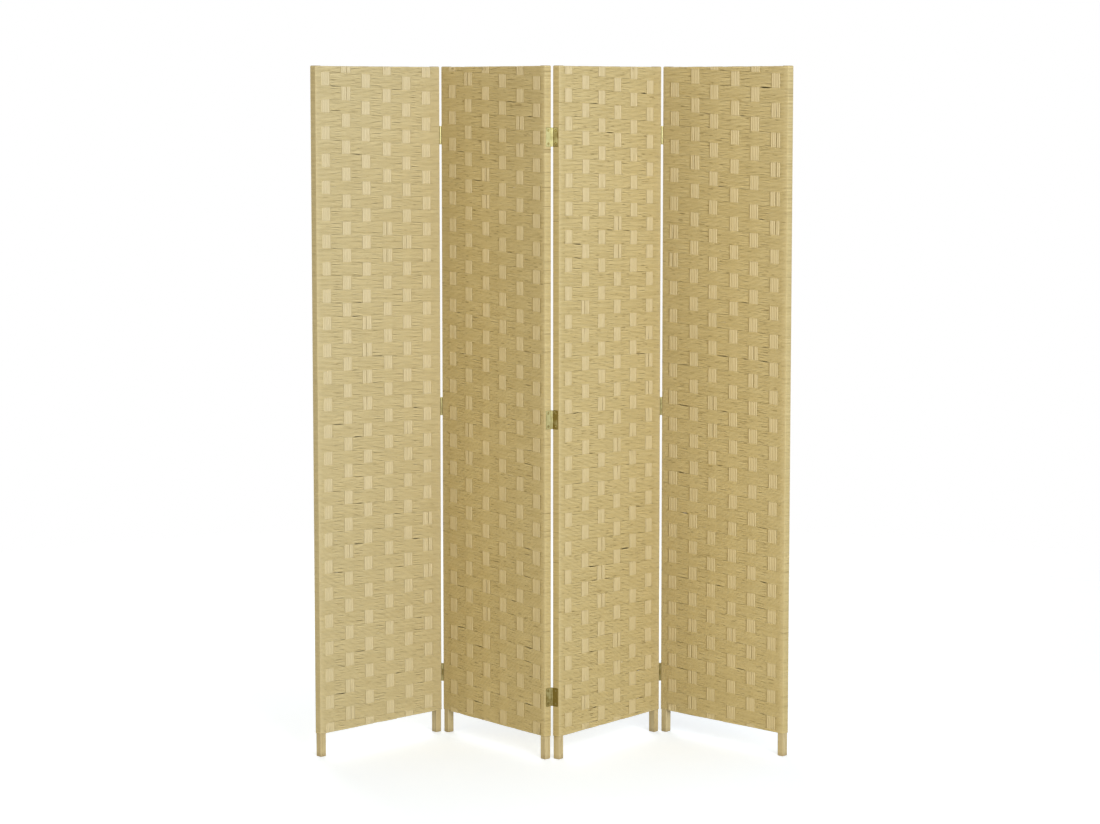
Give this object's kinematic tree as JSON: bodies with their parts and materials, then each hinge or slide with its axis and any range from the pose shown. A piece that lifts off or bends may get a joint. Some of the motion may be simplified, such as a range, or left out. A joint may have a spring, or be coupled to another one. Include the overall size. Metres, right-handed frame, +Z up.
{
  "type": "folding screen",
  "caption": "Tall folding room divider of hinged wooden frames, each covered in a basket weave of paper string, with short bare legs and small butt hinges.",
  "frame": {"origin": "on the floor, under the middle of the opened screen's box", "axes": "+X along the screen to the right in the picture, +Y to the back, +Z up"},
  "size_m": [1.168, 0.317, 1.7],
  "materials": {
    "wood": "satin",
    "paper_string": "matte",
    "paper_band": "matte",
    "hinge_metal": "satin",
    "screw_metal": "satin",
    "pin_metal": "satin"
  },
  "bodies": {
    "panel_1": {"left_post_1": "wood", "right_post_1": "wood", "bottom_rail_1": "wood", "middle_rail_1": "wood", "top_rail_1": "wood", "warp_bands_1": "paper_band", "weft_weave_1": "paper_string", "lower_leaf_1_right": "hinge_metal", "middle_leaf_1_right": "hinge_metal", "upper_leaf_1_right": "hinge_metal", "hinge_screws_1_right": "screw_metal", "hinge_pins_1_2": "pin_metal"},
    "panel_2": {"left_post_2": "wood", "right_post_2": "wood", "bottom_rail_2": "wood", "middle_rail_2": "wood", "top_rail_2": "wood", "warp_bands_2": "paper_band", "weft_weave_2": "paper_string", "lower_leaf_2_left": "hinge_metal", "middle_leaf_2_left": "hinge_metal", "upper_leaf_2_left": "hinge_metal", "hinge_screws_2_left": "screw_metal", "lower_leaf_2_right": "hinge_metal", "middle_leaf_2_right": "hinge_metal", "upper_leaf_2_right": "hinge_metal", "hinge_screws_2_right": "screw_metal", "hinge_pins_2_3": "pin_metal"},
    "panel_3": {"left_post_3": "wood", "right_post_3": "wood", "bottom_rail_3": "wood", "middle_rail_3": "wood", "top_rail_3": "wood", "warp_bands_3": "paper_band", "weft_weave_3": "paper_string", "lower_leaf_3_left": "hinge_metal", "middle_leaf_3_left": "hinge_metal", "upper_leaf_3_left": "hinge_metal", "hinge_screws_3_left": "screw_metal", "lower_leaf_3_right": "hinge_metal", "middle_leaf_3_right": "hinge_metal", "upper_leaf_3_right": "hinge_metal", "hinge_screws_3_right": "screw_metal", "hinge_pins_3_4": "pin_metal"},
    "panel_4": {"left_post_4": "wood", "right_post_4": "wood", "bottom_rail_4": "wood", "middle_rail_4": "wood", "top_rail_4": "wood", "warp_bands_4": "paper_band", "weft_weave_4": "paper_string", "lower_leaf_4_left": "hinge_metal", "middle_leaf_4_left": "hinge_metal", "upper_leaf_4_left": "hinge_metal", "hinge_screws_4_left": "screw_metal"}
  },
  "joints": [
    {"name": "fold_1_2", "type": "hinge", "parent": "panel_2", "child": "panel_1", "pos_m": [-0.27904, 0.14463, 0], "axis": [0, 0, 1], "range_deg": [-93, 87]},
    {"name": "fold_2_3", "type": "hinge", "parent": "panel_2", "child": "panel_3", "pos_m": [0, -0.14637, 0], "axis": [0, 0, 1], "range_deg": [-99, 81]},
    {"name": "fold_3_4", "type": "hinge", "parent": "panel_3", "child": "panel_4", "pos_m": [0.27904, 0.14463, 0], "axis": [0, 0, 1], "range_deg": [-87, 93]}
  ]
}
